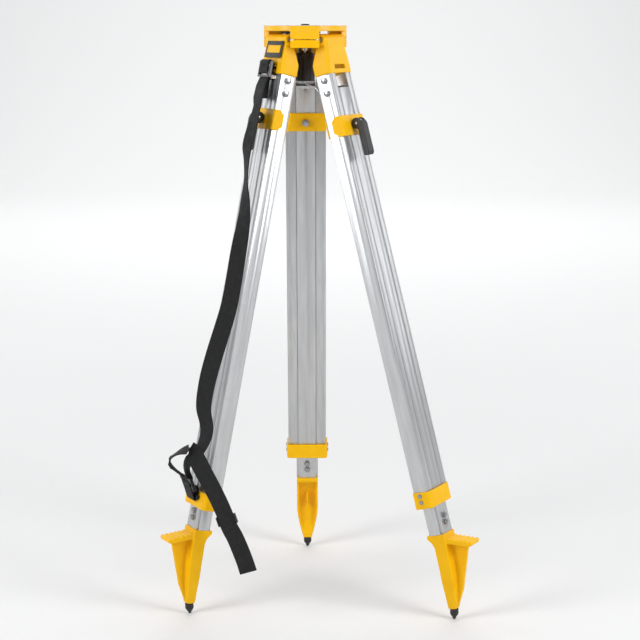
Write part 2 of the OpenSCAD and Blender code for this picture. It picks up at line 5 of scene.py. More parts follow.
import bmesh
import bpy
from mathutils import Matrix, Vector, noise


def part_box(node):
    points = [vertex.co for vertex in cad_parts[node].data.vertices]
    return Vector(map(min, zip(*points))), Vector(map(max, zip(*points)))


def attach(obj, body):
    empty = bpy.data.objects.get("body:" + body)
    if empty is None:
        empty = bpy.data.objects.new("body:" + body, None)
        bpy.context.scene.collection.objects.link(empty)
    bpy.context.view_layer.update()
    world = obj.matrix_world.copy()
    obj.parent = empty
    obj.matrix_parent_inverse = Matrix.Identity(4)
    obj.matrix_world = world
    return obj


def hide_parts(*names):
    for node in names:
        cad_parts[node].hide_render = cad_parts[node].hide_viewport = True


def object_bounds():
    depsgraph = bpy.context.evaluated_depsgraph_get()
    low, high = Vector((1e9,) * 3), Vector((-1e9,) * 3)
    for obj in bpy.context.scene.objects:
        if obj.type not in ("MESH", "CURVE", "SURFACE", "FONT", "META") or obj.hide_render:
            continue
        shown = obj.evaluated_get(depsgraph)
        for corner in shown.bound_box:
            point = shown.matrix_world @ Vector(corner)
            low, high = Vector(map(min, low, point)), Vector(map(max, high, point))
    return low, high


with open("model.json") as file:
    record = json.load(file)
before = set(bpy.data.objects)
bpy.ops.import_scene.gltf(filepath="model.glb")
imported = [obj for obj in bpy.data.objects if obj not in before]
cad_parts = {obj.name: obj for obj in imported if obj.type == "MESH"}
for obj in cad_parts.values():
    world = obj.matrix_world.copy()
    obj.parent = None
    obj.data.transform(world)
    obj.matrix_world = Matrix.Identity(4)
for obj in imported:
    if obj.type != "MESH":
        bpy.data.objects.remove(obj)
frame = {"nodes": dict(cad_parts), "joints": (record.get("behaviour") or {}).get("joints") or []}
cad_box = [list(corner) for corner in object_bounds()]

LEGS = ("rear", "left", "right")
FLOOR_Z = cad_box[0][2]
JOINTS = {joint["name"]: joint for joint in frame["joints"]}


# ---------------------------------------------------------------- frames of the legs


def leg_frame(leg):
    """Leg frame: x across the leg, y outward, z up from the hinge."""
    joint = JOINTS["fold_" + leg]
    lean = math.radians(-joint["range_deg"][0])
    turn = math.atan2(joint["axis"][1], joint["axis"][0])
    return (
        Matrix.Translation(joint["pos_m"])
        @ Matrix.Rotation(turn, 4, "Z")
        @ Matrix.Rotation(lean, 4, "X")
    )


def slide_frame(leg):
    """The sliding section's frame, drawn out by the rest value of its slide."""
    return leg_frame(leg) @ Matrix.Translation((0, 0, JOINTS["extend_" + leg]["range_m"][0]))


# ---------------------------------------------------------------- camera, light and floor


# The viewpoint fitted to the photograph: metres, and degrees about x, y and z
CAMERA_PLACE = (0.0256, -2.979, 0.0096)
CAMERA_TURN = (80, 0.06, 0)
FOCAL_MM = 95.85
SENSOR_MM = 36


def make_camera():
    bpy.context.scene.view_settings.view_transform = "Standard"
    data = bpy.data.cameras.new("camera")
    data.sensor_width = SENSOR_MM
    data.lens = FOCAL_MM
    camera = bpy.data.objects.new("camera", data)
    camera.location = CAMERA_PLACE
    camera.rotation_euler = [math.radians(angle) for angle in CAMERA_TURN]
    bpy.context.collection.objects.link(camera)
    bpy.context.scene.camera = camera


def area_light(name, place, size, power, target=(0, 0, -0.45)):
    """A soft box of so many watts, aimed at a target."""
    data = bpy.data.lights.new(name, "AREA")
    data.shape = "RECTANGLE"
    data.size, data.size_y = size
    data.energy = power
    light = bpy.data.objects.new(name, data)
    light.location = place
    aim = Vector(target) - Vector(place)
    light.rotation_euler = aim.to_track_quat("-Z", "Y").to_euler()
    bpy.context.collection.objects.link(light)


def make_lights():
    world = bpy.data.worlds.new("studio")
    bpy.context.scene.world = world
    world.use_nodes = True
    back = world.node_tree.nodes["Background"]
    back.inputs["Color"].default_value = (0.95, 0.97, 1.0, 1)
    back.inputs["Strength"].default_value = 0.30
    for name, side in (("left", -1), ("right", 1)):
        area_light("key_" + name, (1.9 * side, -1.3, 0.38), (1.1, 1.5), 35, (0, 0, 0.1))
        area_light("rim_" + name, (2.7 * side, 1.7, 0.5), (1.4, 2.0), 15, (0, 0, -0.1))
    area_light("top", (0, -0.8, 2.3), (2.4, 1.6), 13)
    area_light("backdrop_wash", (0, 5.2, 3.6), (7.0, 4.5), 300, (0, 5.6, -1.0))


def make_floor(material):
    """A sweep: level floor that curves up into a wall behind the object."""
    bm = bmesh.new()
    near, bend, radius, top, half, steps = -9.0, 7.0, 2.0, 4.5, 9.0, 12
    profile = [(near, FLOOR_Z), (bend, FLOOR_Z)]
    for i in range(1, steps + 1):
        angle = math.radians(90 * i / steps)
        profile.append((bend + radius * math.sin(angle), FLOOR_Z + radius * (1 - math.cos(angle))))
    profile.append((bend + radius, top))
    rows = [[bm.verts.new((x, y, z)) for x in (-half, half)] for y, z in profile]
    for low, high in zip(rows, rows[1:]):
        bm.faces.new((low[0], low[1], high[1], high[0]))
    floor = mesh_object("floor", bm, material)


# ---------------------------------------------------------------- node helpers


class Shader:
    """A small helper that builds one procedural material."""

    def __init__(self, name):
        self.material = bpy.data.materials.new(name)
        self.material.use_nodes = True
        self.tree = self.material.node_tree
        self.bsdf = self.tree.nodes["Principled BSDF"]

    def node(self, kind, **values):
        node = self.tree.nodes.new(kind)
        for key, value in values.items():
            setattr(node, key, value)
        return node

    def link(self, source, target):
        self.tree.links.new(source, target)

    def position(self, matrix=None):
        """Object coordinates, turned into a leg's own frame where one is given."""
        coords = self.node("ShaderNodeTexCoord").outputs["Object"]
        if matrix is None:
            return coords
        inverse = matrix.inverted()
        mapping = self.node("ShaderNodeMapping")
        mapping.inputs["Location"].default_value = inverse.to_translation()
        mapping.inputs["Rotation"].default_value = inverse.to_euler("XYZ")
        self.link(coords, mapping.inputs["Vector"])
        return mapping.outputs["Vector"]

    def noise(self, vector, scale, detail=4, stretch=(1, 1, 1)):
        multiply = self.node("ShaderNodeVectorMath", operation="MULTIPLY")
        multiply.inputs[1].default_value = [scale * s for s in stretch]
        texture = self.node("ShaderNodeTexNoise")
        texture.inputs["Scale"].default_value = 1
        texture.inputs["Detail"].default_value = detail
        self.link(vector, multiply.inputs[0])
        self.link(multiply.outputs[0], texture.inputs["Vector"])
        return texture.outputs["Fac"]

    def ramp(self, factor, low, high, from_low=0.3, from_high=0.7):
        """Maps a factor to a number between low and high."""
        node = self.node("ShaderNodeMapRange")
        node.inputs["From Min"].default_value = from_low
        node.inputs["From Max"].default_value = from_high
        node.inputs["To Min"].default_value = low
        node.inputs["To Max"].default_value = high
        self.link(factor, node.inputs["Value"])
        return node.outputs["Result"]

    def blend(self, factor, first, second):
        """A colour between first and second; either may be a socket."""
        node = self.node("ShaderNodeMix", data_type="RGBA")
        self.link(factor, node.inputs["Factor"])
        for socket, value in ((node.inputs[6], first), (node.inputs[7], second)):
            if isinstance(value, bpy.types.NodeSocket):
                self.link(value, socket)
            else:
                socket.default_value = (*value, 1)
        return node.outputs[2]

    def maths(self, operation, first, second=0):
        """A number worked out from one or two others; each may be a socket."""
        node = self.node("ShaderNodeMath", operation=operation)
        for socket, value in ((node.inputs[0], first), (node.inputs[1], second)):
            if isinstance(value, bpy.types.NodeSocket):
                self.link(value, socket)
            else:
                socket.default_value = value
        return node.outputs[0]

    def bump(self, height, distance, strength=1.0):
        node = self.node("ShaderNodeBump")
        node.inputs["Distance"].default_value = distance
        node.inputs["Strength"].default_value = strength
        self.link(height, node.inputs["Height"])
        self.link(node.outputs["Normal"], self.bsdf.inputs["Normal"])

    def edges(self, low, high):
        """From 0 on flat areas to 1 on raised edges."""
        geometry = self.node("ShaderNodeNewGeometry")
        return self.ramp(geometry.outputs["Pointiness"], 0, 1, low, high)

    def set(self, **values):
        for key, value in values.items():
            self.bsdf.inputs[key.replace("_", " ")].default_value = value


# ---------------------------------------------------------------- materials

# The powder coat's colour and its slightly darker mottling
YELLOW = ((0.90, 0.50, 0.003), (0.86, 0.45, 0.002))


def paint(name, colour, shade):
    """Powder coat over a casting: fine orange peel, slight mottling and worn edges."""
    s = Shader(name)
    place = s.position()
    broad = s.noise(place, 35, 3)
    fine = s.noise(place, 1600, 2)
    mottled = s.blend(s.ramp(broad, 0, 1), colour, shade)
    wear = s.maths("MULTIPLY", s.edges(0.56, 0.66), s.ramp(s.noise(place, 180, 5), 0, 0.5, 0.45, 0.7))
    s.link(s.blend(wear, mottled, (0.95, 0.66, 0.10)), s.bsdf.inputs["Base Color"])
    s.link(s.ramp(s.noise(place, 220, 4), 0.32, 0.46), s.bsdf.inputs["Roughness"])
    s.bump(s.maths("ADD", fine, s.maths("MULTIPLY", s.noise(place, 300, 3), 1.5)), 0.00012, 0.5)
    s.set(Specular_IOR_Level=0.16)
    return s.material


def alloy(name, matrix):
    """Satin anodised extrusion: fine lines along the leg and faint handling marks."""
    s = Shader(name)
    place = s.position(matrix)
    lines = s.noise(place, 1, 5, (2600, 2600, 9))
    marks = s.noise(place, 1, 6, (160, 160, 14))
    s.link(
        s.blend(s.ramp(marks, 0, 1, 0.35, 0.7), (0.60, 0.61, 0.62), (0.53, 0.54, 0.55)),
        s.bsdf.inputs["Base Color"],
    )
    rough = s.maths("ADD", s.ramp(lines, 0.30, 0.42), s.ramp(marks, -0.03, 0.05))
    s.link(rough, s.bsdf.inputs["Roughness"])
    s.bump(lines, 0.00006, 0.6)
    s.set(Metallic=0.92)
    return s.material


def steel(name, colour=(0.62, 0.62, 0.63), rough=(0.22, 0.36)):
    """Zinc-plated steel with faint mottling."""
    s = Shader(name)
    place = s.position()
    mottle = s.noise(place, 420, 5)
    s.link(
        s.blend(s.ramp(mottle, 0, 1), colour, [0.82 * c for c in colour]),
        s.bsdf.inputs["Base Color"],
    )
    s.link(s.ramp(s.noise(place, 900, 4), *rough), s.bsdf.inputs["Roughness"])
    s.bump(s.noise(place, 2400, 3), 0.00005, 0.5)
    s.set(Metallic=1.0)
    return s.material


def plastic(name, colour, rough=(0.38, 0.55), grain=1900):
    """Moulded plastic with a fine spark-eroded grain, paler where it is rubbed."""
    s = Shader(name)
    place = s.position()
    rub = s.maths("MULTIPLY", s.edges(0.55, 0.66), s.ramp(s.noise(place, 260, 4), 0.1, 0.7))
    s.link(
        s.blend(rub, colour, [min(1, 3.2 * c + 0.02) for c in colour]),
        s.bsdf.inputs["Base Color"],
    )
    s.link(s.ramp(s.noise(place, 300, 4), *rough), s.bsdf.inputs["Roughness"])
    s.bump(s.noise(place, grain, 2), 0.00016, 0.6)
    return s.material


def webbing(name, colour, thread):
    """Woven nylon: ribs along the band crossed by the weft, from the band's own uv in metres."""
    s = Shader(name)
    uv = s.node("ShaderNodeUVMap", uv_map="along").outputs["UV"]
    split = s.node("ShaderNodeSeparateXYZ")
    s.link(uv, split.inputs[0])
    pitch_across, pitch_along = 0.0021, 0.0013
    warp = s.maths("SINE", s.maths("MULTIPLY", split.outputs[0], 2 * math.pi / pitch_across))
    shifted = s.maths(
        "ADD",
        s.maths("MULTIPLY", split.outputs[1], 2 * math.pi / pitch_along),
        s.maths("MULTIPLY", s.maths("SIGN", warp), math.pi / 2),
    )
    weft = s.maths("SINE", shifted)
    height = s.maths("ADD", s.maths("ABSOLUTE", warp), s.maths("MULTIPLY", weft, 0.6))
    place = s.position()
    fluff = s.noise(place, 900, 5)
    tone = s.maths("ADD", s.ramp(height, 0, 0.8, 0, 1.5), s.ramp(fluff, -0.2, 0.25))
    s.link(s.blend(tone, colour, thread), s.bsdf.inputs["Base Color"])
    s.link(s.ramp(s.noise(place, 120, 3), 0.62, 0.82), s.bsdf.inputs["Roughness"])
    s.bump(s.maths("ADD", height, s.maths("MULTIPLY", fluff, 0.6)), 0.0003, 0.8)
    s.set(Sheen_Weight=0.04, Sheen_Roughness=0.5, Specular_IOR_Level=0.25)
    return s.material


def head_finish(yellow):
    """The head: painted all over, with its top face turned bright on a lathe."""
    s = Shader("head_paint_and_turned_top")
    place = s.position()
    split = s.node("ShaderNodeSeparateXYZ")
    s.link(place, split.inputs[0])
    radius = s.node("ShaderNodeVectorMath", operation="LENGTH")
    flat = s.node("ShaderNodeVectorMath", operation="MULTIPLY")
    flat.inputs[1].default_value = (1, 1, 0)
    s.link(place, flat.inputs[0])
    s.link(flat.outputs[0], radius.inputs[0])
    ring = s.node("ShaderNodeTexNoise", noise_dimensions="1D")
    ring.inputs["Scale"].default_value = 2200
    ring.inputs["Detail"].default_value = 3
    s.link(radius.outputs["Value"], ring.inputs["W"])
    top = s.ramp(split.outputs[2], 0, 1, -0.0007, -0.0004)
    turned = s.ramp(ring.outputs["Fac"], 0.55, 0.75)
    grey = s.node("ShaderNodeCombineColor")
    for socket in grey.inputs[:3]:
        s.link(turned, socket)
    broad = s.noise(place, 35, 3)
    painted = s.blend(s.ramp(broad, 0, 1), *yellow)
    s.link(s.blend(top, painted, grey.outputs[0]), s.bsdf.inputs["Base Color"])
    s.link(top, s.bsdf.inputs["Metallic"])
    s.link(s.ramp(s.noise(place, 220, 4), 0.30, 0.44), s.bsdf.inputs["Roughness"])
    height = s.maths("ADD", s.maths("MULTIPLY", ring.outputs["Fac"], top), s.noise(place, 1600, 2))
    s.bump(height, 0.0001, 0.5)
    return s.material


def floor_finish():
    """Pale seamless paper with a barely visible tooth."""
    s = Shader("studio_paper")
    tooth = s.noise(s.position(), 300, 3)
    s.link(
        s.blend(s.ramp(tooth, 0, 1), (0.79, 0.79, 0.79), (0.77, 0.77, 0.77)),
        s.bsdf.inputs["Base Color"],
    )
    s.set(Roughness=0.9, Specular_IOR_Level=0.1)
    return s.material


# ---------------------------------------------------------------- mesh helpers


def mesh_object(name, bm, material, matrix=None, sharp=35):
    """An object at the origin, from a bmesh in its own or a leg's frame."""
    if matrix is not None:
        bm.transform(matrix)
    bmesh.ops.recalc_face_normals(bm, faces=bm.faces)
    mesh = bpy.data.meshes.new(name)
    bm.to_mesh(mesh)
    bm.free()
    mesh.shade_smooth()
    mesh.set_sharp_from_angle(angle=math.radians(sharp))
    mesh.materials.append(material)
    obj = bpy.data.objects.new(name, mesh)
    bpy.context.collection.objects.link(obj)
    return obj


def settle(obj, body, slot, *nodes):
    """Rides on a body and may stand for CAD nodes, which it hides; the slot argument is not used."""
    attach(obj, body)
    if nodes:
        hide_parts(*nodes)
    return obj


def apply_modifiers(obj):
    """Replaces an object's mesh by the one its modifiers give."""
    bpy.context.view_layer.update()
    graph = bpy.context.evaluated_depsgraph_get()
    mesh = bpy.data.meshes.new_from_object(obj.evaluated_get(graph))
    old = obj.data
    obj.modifiers.clear()
    obj.data = mesh
    bpy.data.meshes.remove(old)


def node_bmesh(node, matrix):
    """A copy of a CAD node's mesh, in a leg's frame."""
    bm = bmesh.new()
    bm.from_mesh(frame["nodes"][node].data)
    bm.transform(matrix.inverted())
    bmesh.ops.remove_doubles(bm, verts=bm.verts, dist=2e-6)
    return bm


def grow_skin(obj, voxel, relax):
    """Turns an object's mesh into one closed skin with soft edges."""
    remesh = obj.modifiers.new("skin", "REMESH")
    remesh.mode = "VOXEL"
    remesh.voxel_size = voxel
    remesh.use_smooth_shade = True
    smooth = obj.modifiers.new("soften", "SMOOTH")
    smooth.factor = 0.5
    smooth.iterations = relax
    apply_modifiers(obj)


def cast(node, matrix, material, voxel, relax):
    """A casting with soft edges: the CAD shape grown into one skin."""
    obj = mesh_object(node + "_casting", node_bmesh(node, matrix), material, sharp=180)
    grow_skin(obj, voxel, relax)
    obj.data.transform(matrix)
    obj.data.materials.clear()
    obj.data.materials.append(material)
    return obj


def bevelled(node, matrix, material, width):
    """A machined piece: the CAD shape with its edges broken."""
    bm = node_bmesh(node, matrix)
    bmesh.ops.dissolve_limit(bm, angle_limit=math.radians(0.6), verts=bm.verts, edges=bm.edges)
    obj = mesh_object(node + "_finished", bm, material, sharp=180)
    bevel = obj.modifiers.new("edges", "BEVEL")
    bevel.width = width
    bevel.segments = 2
    bevel.limit_method = "ANGLE"
    bevel.angle_limit = math.radians(32)
    bevel.use_clamp_overlap = True
    apply_modifiers(obj)
    obj.data.transform(matrix)
    obj.data.set_sharp_from_angle(angle=math.radians(50))
    return obj


def box(bm, low, high):
    """A closed box between two corners, added to bm."""
    low, high = Vector(low), Vector(high)
    size = high - low
    place = Matrix.Translation((low + high) / 2) @ Matrix.Diagonal((*size, 1))
    bmesh.ops.create_cube(bm, size=1, matrix=place)


def loft(bm, rows):
    """A closed skin over rows of vertices that go round the same way, capped at both ends."""
    sides = len(rows[0])
    for a, b in zip(rows, rows[1:]):
        for k in range(sides):
            m = (k + 1) % sides
            bm.faces.new((a[k], a[m], b[m], b[k]))
    bm.faces.new(rows[0][::-1])
    bm.faces.new(rows[-1])


def spline_point(p0, p1, p2, p3, t):
    """The point at t between p1 and p2 on a Catmull-Rom curve."""
    return [
        0.5 * (2 * b + (c - a) * t + (2 * a - 5 * b + 4 * c - d) * t * t
               + (3 * b - a - 3 * c + d) * t * t * t)
        for a, b, c, d in zip(p0, p1, p2, p3)
    ]


def smooth_path(points, step=0.006):
    """Points every few millimetres along a Catmull-Rom curve through rows of numbers."""
    ends = [points[0]] + list(points) + [points[-1]]
    path = []
    for p0, p1, p2, p3 in zip(ends, ends[1:], ends[2:], ends[3:]):
        length = math.dist(p1[:3], p2[:3])
        count = max(2, round(length / step))
        for i in range(count):
            path.append(spline_point(p0, p1, p2, p3, i / count))
    path.append(list(points[-1]))
    return path


def polyline_length(path):
    return sum(math.dist(a[:3], b[:3]) for a, b in zip(path, path[1:]))


def ribbon(bm, path, width, thick, cup=0.0, closed=False, thicker_from=None, phase=0.0):
    """A woven band along a path of [x, y, z, twist in degrees], with rounded selvedges."""
    uv = bm.loops.layers.uv.get("along") or bm.loops.layers.uv.new("along")
    count = len(path)
    flat, selvedge, thinning = 0.9, 0.1, 0.55
    hem_thickness, sway_rate, closing_step = 1.9, 14, 0.004
    across_steps = [-1, -0.965, -0.9, -0.6, -0.25, 0.25, 0.6, 0.9, 0.965, 1]
    rows, lengths, travelled = [], [], 0.0
    for i, p in enumerate(path):
        before = path[i - 1] if (i or closed) else p
        after = path[(i + 1) % count] if (i < count - 1 or closed) else p
        along = (Vector(after[:3]) - Vector(before[:3])).normalized()
        twist = math.radians(p[3])
        side = Vector((math.cos(twist), math.sin(twist), 0))
        normal = along.cross(side).normalized()
        side = normal.cross(along)
        if i:
            travelled += math.dist(p[:3], path[i - 1][:3])
        lengths.append(travelled)
        centre = Vector(p[:3])
        fat = thick
        if thicker_from is not None and travelled > thicker_from:
            fat = hem_thickness * thick
        sway = cup * noise.noise(Vector((travelled * sway_rate, phase, 0)))
        ring = []
        for face in (1, -1):
            for u in across_steps[::face]:
                edge = 1 - thinning * max(0.0, (abs(u) - flat) / selvedge) ** 2
                drop = sway * (u * u - 0.4) + 0.3 * sway * u
                place = centre + side * (u * width / 2) + normal * (face * edge * fat / 2 + drop)
                ring.append((bm.verts.new(place), u * width / 2))
        rows.append(ring)
    sides = len(rows[0])
    for i in range(count if closed else count - 1):
        a, b = rows[i], rows[(i + 1) % count]
        high = lengths[i + 1] if i < count - 1 else lengths[i] + closing_step
        for k in range(sides):
            m = (k + 1) % sides
            face = bm.faces.new((a[k][0], a[m][0], b[m][0], b[k][0]))
            for loop, value in zip(face.loops, ((a[k][1], lengths[i]), (a[m][1], lengths[i]),
                                                (b[m][1], high), (b[k][1], high))):
                loop[uv].uv = value
    if not closed:
        bm.faces.new([v for v, _ in rows[0]][::-1])
        bm.faces.new([v for v, _ in rows[-1]])


# ---------------------------------------------------------------- carrying strap

STRAP_W = 0.030
STRAP_T = 0.002
LOOP_W = STRAP_W - 0.001
LOOP_T = 0.0018

# The strap's route in the left leg's frame: x, y, distance below the hinge, twist
RUN = [
    (0, 0.017, 0.0686, 0), (0, 0.018, 0.0725, 0), (-0.0005, 0.0205, 0.08, 0),
    (-0.006, 0.025, 0.091, -5), (-0.017, 0.031, 0.102, -7), (-0.0265, 0.035, 0.115, -5),
    (-0.027, 0.036, 0.144, -2), (-0.027, 0.04, 0.187, 4), (-0.027, 0.037, 0.213, -10),
    (-0.027, 0.031, 0.249, -17), (-0.03, 0.027, 0.285, 5), (-0.033, 0.025, 0.33, 24),
    (-0.034, 0.025, 0.373, 36), (-0.034, 0.025, 0.462, 44), (-0.033, 0.036, 0.551, 56),
    (-0.032, 0.04, 0.6, 44), (-0.032, 0.038, 0.64, 32), (-0.034, 0.028, 0.668, 24),
    (-0.034, 0.025, 0.688, 16), (-0.031, 0.029, 0.711, 6), (-0.02, 0.034, 0.726, 0),
    (-0.008, 0.037, 0.742, -6), (-0.002, 0.033, 0.755, -4), (0, 0.028, 0.764, 0),
    (0, 0.025, 0.7705, 0),
]
TAIL = [
    (0, 0.0345, 0.772, 0), (0, 0.037, 0.7675, 0), (-0.005, 0.046, 0.762, -12),
    (-0.01, 0.057, 0.757, -22), (-0.013, 0.073, 0.745, -30), (-0.017, 0.075, 0.735, -30),
    (-0.02, 0.068, 0.727, -26), (-0.025, 0.058, 0.719, 0), (-0.033, 0.048, 0.715, 42),
    (-0.046, 0.038, 0.732, 52), (-0.057, 0.026, 0.752, 52), (-0.068, 0.012, 0.774, 50),
    (-0.076, -0.002, 0.796, 50), (-0.081, -0.014, 0.816, 50), (-0.084, -0.024, 0.834, 52),
    (-0.091, -0.036, 0.852, 52), (-0.102, -0.053, 0.884, 54), (-0.107, -0.063, 0.905, 56),
]


def route(points):
    """A strap's smooth path in the left leg's frame, from its route points."""
    return smooth_path([(x, y, -s, twist) for x, y, s, twist in points])


def make_strap(name, points, material, node, hem=None):
    """One free stretch of the carrying strap, built as a woven band."""
    path = route(points)
    length = polyline_length(path)
    bm = bmesh.new()
    ribbon(bm, path, STRAP_W, STRAP_T, cup=0.0022, phase=len(points),
           thicker_from=None if hem is None else length - hem)
    left = leg_frame("left")
    strap = mesh_object(name, bm, material, left, sharp=60)
    return settle(strap, "upper_left", "webbing", node)


def closed_loop(corners, step=0.002):
    """A closed path through corners [y, s] in a leg's y-s plane, with rounded turns."""
    count = len(corners)
    path = []
    for i in range(count):
        p0, p1, p2, p3 = (corners[(i + k) % count] for k in (-1, 0, 1, 2))
        pieces = max(2, round(math.dist(p1, p2) / step))
        for k in range(pieces):
            y, s = spline_point(p0, p1, p2, p3, k / pieces)
            path.append([0, y, -s, 0])
    return path


def make_strap_loops(material):
    """The loop through the bracket's slot and the top buckle, its spare end, the turns of
    webbing round the buckles' bars, and the loop at the collar."""
    bm = bmesh.new()
    through_bracket = [
        (-0.0012, 0.0505), (-0.0012, 0.0585), (0.004, 0.0608), (0.0105, 0.0570), (0.0150, 0.0478),
        (0.0195, 0.0468), (0.0215, 0.0425), (0.0190, 0.0385), (0.0130, 0.0400), (0.0085, 0.0470),
        (0.004, 0.0484),
    ]
    over_bar = [
        (0.0130, 0.0500), (0.0130, 0.0580), (0.0170, 0.0612), (0.0208, 0.0580), (0.0208, 0.0500),
        (0.0170, 0.0470),
    ]
    round_collar = [
        (0.0096, 0.7900), (0.0096, 0.8020), (0.0125, 0.8070), (0.0165, 0.8030), (0.0240, 0.7885),
        (0.0240, 0.7850), (0.0205, 0.7815), (0.0150, 0.7810), (0.0105, 0.7850),
    ]
    for corners in (through_bracket, over_bar, round_collar):
        ribbon(bm, closed_loop(corners), LOOP_W, LOOP_T, closed=True)
    spare = [(0, 0.0125, -0.066, 0), (0, 0.0122, -0.078, -2), (0, 0.0124, -0.092, 3),
             (0, 0.0126, -0.1035, 4)]
    ribbon(bm, smooth_path(spare, 0.003), 0.0278, 0.0017, cup=0.0004)
    # The turn round the middle bar of the lower buckle, which leans about 30 degrees
    bar_y, bar_s, lean_sin, lean_cos = 0.0253, 0.7792, 0.5, 0.866
    half_long, half_wide, steps = 0.0062, 0.0042, 24
    turn = []
    for i in range(steps):
        angle = 2 * math.pi * i / steps
        along, out = half_long * math.cos(angle), half_wide * math.sin(angle)
        y = bar_y + lean_sin * along + lean_cos * out
        turn.append([0, y, -bar_s + lean_cos * along - lean_sin * out, 0])
    ribbon(bm, turn, LOOP_W, LOOP_T, closed=True)
    loops = mesh_object("strap_loops_woven", bm, material, leg_frame("left"), sharp=60)
    settle(loops, "upper_left", "webbing", "strap_loops")


def make_keeper(material):
    """The slide adjuster part way down the spare tail."""
    left = leg_frame("left")
    path = route(TAIL)
    keeper_s = 0.820
    at = min(range(len(path)), key=lambda i: abs(path[i][2] + keeper_s))
    along = (Vector(path[at + 1][:3]) - Vector(path[at - 1][:3])).normalized()
    twist = math.radians(path[at][3])
    side = Vector((math.cos(twist), math.sin(twist), 0))
    normal = along.cross(side).normalized()
    side = normal.cross(along)
    turn = Matrix((side, normal, along)).transposed().to_4x4()
    turn.translation = Vector(path[at][:3])
    bm = bmesh.new()
    half, low, high, bar, side_bar = 0.0178, -0.0085, 0.0085, 0.003, 0.0026
    for z in (low, -0.0015, high - bar):
        box(bm, (-half, 0.0012, z), (half, 0.0032, z + bar))
    for x in (-half, half - side_bar):
        box(bm, (x, -0.0028, low), (x + side_bar, 0.0031, high))
    keeper = mesh_object("tail_keeper", bm, material, sharp=180)
    grow_skin(keeper, 0.0005, 4)
    keeper.data.transform(left @ turn)
    settle(keeper, "upper_left", "black_plastic")


# ---------------------------------------------------------------- head and screw


def make_label(black, yellow):
    """A plain two-part plate on the left bracket, with nothing written on it."""
    tilt = Matrix.Translation((0, 0.00897, -0.00068)) @ Matrix.Rotation(math.radians(4.3), 4, "X")
    left = leg_frame("left") @ tilt
    for name, low, high, deep, material, slot in (
        ("label_plate", (-0.0325, -0.0325), (0.0225, -0.0035), 0.0005, black, "black_plastic"),
        ("label_panel", (-0.0275, -0.0240), (0.0170, -0.0110), 0.0008, yellow, "yellow_paint"),
    ):
        bm = bmesh.new()
        box(bm, (low[0], -0.0006, low[1]), (high[0], deep, high[1]))
        plate = mesh_object(name, bm, material, sharp=180)
        bevel = plate.modifiers.new("corners", "BEVEL")
        bevel.width = 0.00025
        bevel.segments = 2
        apply_modifiers(plate)
        plate.data.transform(left)
        settle(plate, "upper_left", slot)


def make_screw(material):
    """The instrument screw: a rolled thread, a relieved neck and a bright shank."""
    low_corner, high_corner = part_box("fastening_screw")
    low, top = low_corner[2], high_corner[2]
    pitch, sides, per_turn, threaded = 0.00231, 64, 12, 0.0085
    crest, depth, neck, shank = 0.00793, 0.0008, 0.0072, 0.00645
    neck_end, shank_start, edge = -0.0275, -0.028, 0.0006
    bm = bmesh.new()
    rows = []
    levels = [top - i * pitch / per_turn for i in range(int(threaded / pitch * per_turn) + 1)]
    for z in levels:
        chamfer = max(0.0, 0.0013 - (top - z))
        row = []
        for k in range(sides):
            angle = 2 * math.pi * k / sides
            turn = ((z / pitch) - k / sides) % 1.0
            groove = depth * (1 - abs(2 * turn - 1)) ** 0.8
            radius = crest - groove - chamfer
            row.append(bm.verts.new((radius * math.cos(angle), radius * math.sin(angle), z)))
        rows.append(row)
    plain = (
        (neck, levels[-1] - edge), (neck, neck_end), (shank, shank_start), (shank, low + edge),
        (shank - edge, low),
    )
    for radius, z in plain:
        rows.append([
            bm.verts.new((radius * math.cos(2 * math.pi * k / sides),
                          radius * math.sin(2 * math.pi * k / sides), z)) for k in range(sides)
        ])
    loft(bm, rows)
    screw = mesh_object("fastening_screw_threaded", bm, material, sharp=40)
    settle(screw, "screw", "steel", "fastening_screw")


def screw_finish():
    """Black oxide on the thread, bright zinc on the shank below the carrier."""
    s = Shader("screw_oxide_and_zinc")
    place = s.position()
    split = s.node("ShaderNodeSeparateXYZ")
    s.link(place, split.inputs[0])
    dark = s.ramp(split.outputs[2], 0, 1, -0.0285, -0.0275)
    mottle = s.noise(place, 500, 4)
    bright = s.blend(s.ramp(mottle, 0, 1), (0.75, 0.75, 0.76), (0.62, 0.62, 0.64))
    black = s.blend(s.ramp(mottle, 0, 1), (0.02, 0.02, 0.022), (0.05, 0.05, 0.052))
    s.link(s.blend(dark, bright, black), s.bsdf.inputs["Base Color"])
    s.link(s.ramp(s.noise(place, 900, 3), 0.22, 0.4), s.bsdf.inputs["Roughness"])
    s.bump(s.noise(place, 2400, 3), 0.00005, 0.5)
    s.set(Metallic=0.9)
    return s.material


def make_hook(material):
    """The wire hook under the knob, for a plumb line."""
    points = [
        (0, 0, -0.091, 0), (0, 0, -0.098, 0), (0.003, 0, -0.101, 0), (0.009, 0.001, -0.103, 0),
        (0.015, 0.002, -0.106, 0), (0.020, 0.003, -0.111, 0), (0.023, 0.004, -0.118, 0),
        (0.024, 0.004, -0.125, 0), (0.022, 0.004, -0.132, 0), (0.017, 0.004, -0.137, 0),
    ]
    path = [Vector(p[:3]) for p in smooth_path(points, 0.0012)]
    sides, radius = 14, 0.00108
    bm = bmesh.new()
    rows = []
    for i, centre in enumerate(path):
        along = (path[min(i + 1, len(path) - 1)] - path[max(i - 1, 0)]).normalized()
        side = along.cross(Vector((0, 1, 0))).normalized()
        other = along.cross(side)
        thin = radius * (0.55 if i in (0, len(path) - 1) else 1)
        rows.append([
            bm.verts.new(centre + thin * (math.cos(2 * math.pi * k / sides) * side
                                          + math.sin(2 * math.pi * k / sides) * other))
            for k in range(sides)
        ])
    loft(bm, rows)
    settle(mesh_object("plumb_hook_wire", bm, material), "screw", "steel", "plumb_hook")


# ---------------------------------------------------------------- everything in its place


